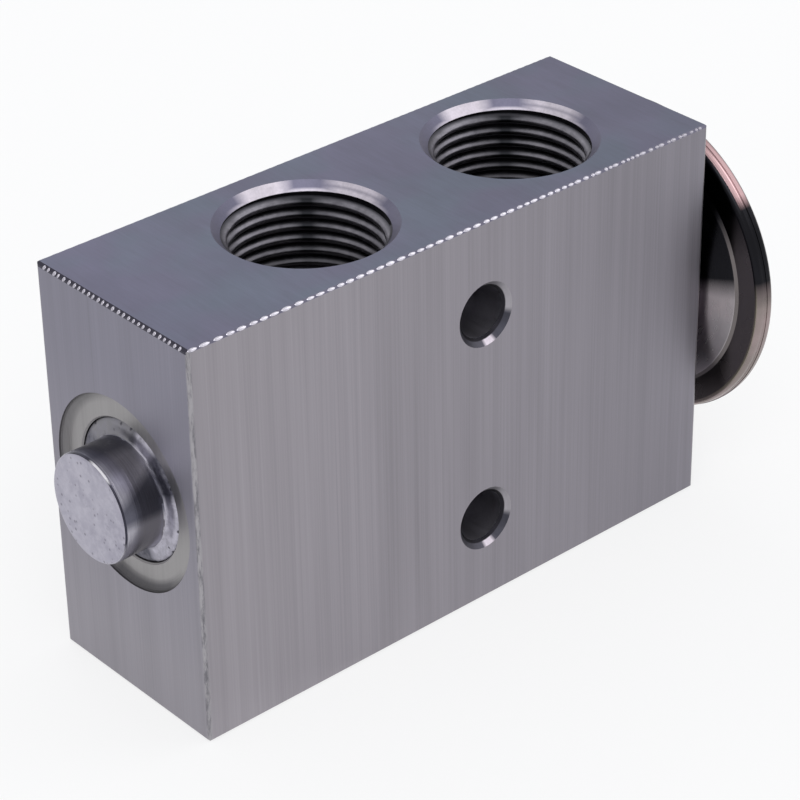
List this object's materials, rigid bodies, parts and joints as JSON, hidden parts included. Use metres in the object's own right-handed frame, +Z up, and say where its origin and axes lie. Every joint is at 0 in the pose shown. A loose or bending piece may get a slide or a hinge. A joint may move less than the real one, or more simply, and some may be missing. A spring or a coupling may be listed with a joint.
{
  "type": "expansion valve",
  "caption": "Rectangular metal block with threaded ports on its long edges, cross holes for mounting, a round plug at one end and a diaphragm disc at the other; meters refrigerant.",
  "frame": {"origin": "centre of the block's lower port face, the face that it stands on", "axes": "+X along the valve axis from the end plug to the power head, +Y from the front face through the thickness to the back, +Z up through the ports"},
  "size_m": [0.1067, 0.0476, 0.0587],
  "materials": {
    "block": "extruded and milled, fine lines",
    "plug": "turned, matt face",
    "seal": "smooth",
    "nut": "turned",
    "spring": "drawn wire and sheet",
    "inner_steel": "turned",
    "ball": "polished",
    "shaft": "turned",
    "sleeve": "moulded",
    "head": "stamped stainless steel",
    "diaphragm": "thin rolled sheet"
  },
  "bodies": {
    "housing": {"valve_body": "block", "end_plug": "plug", "plug_o_ring": "seal", "adjusting_nut": "nut", "superheat_spring": "spring", "rod_o_ring": "seal", "seal_retainer": "inner_steel", "head_neck": "inner_steel", "head_o_ring": "seal", "lower_housing": "head", "diaphragm": "diaphragm", "upper_housing": "head", "charge_plug": "inner_steel"},
    "valve_train": {"ball_carrier": "inner_steel", "damping_ring": "spring", "valve_ball": "ball", "push_rod": "inner_steel", "sensing_shaft": "shaft", "sensing_sleeve": "sleeve", "diaphragm_pad": "shaft"}
  },
  "joints": [
    {"name": "valve_stroke", "type": "slide", "parent": "housing", "child": "valve_train", "axis": [-1, 0, 0], "range_m": [0, 0.0008], "stiffness_N_per_m": 15000, "deforming": ["superheat_spring", "diaphragm"]}
  ]
}
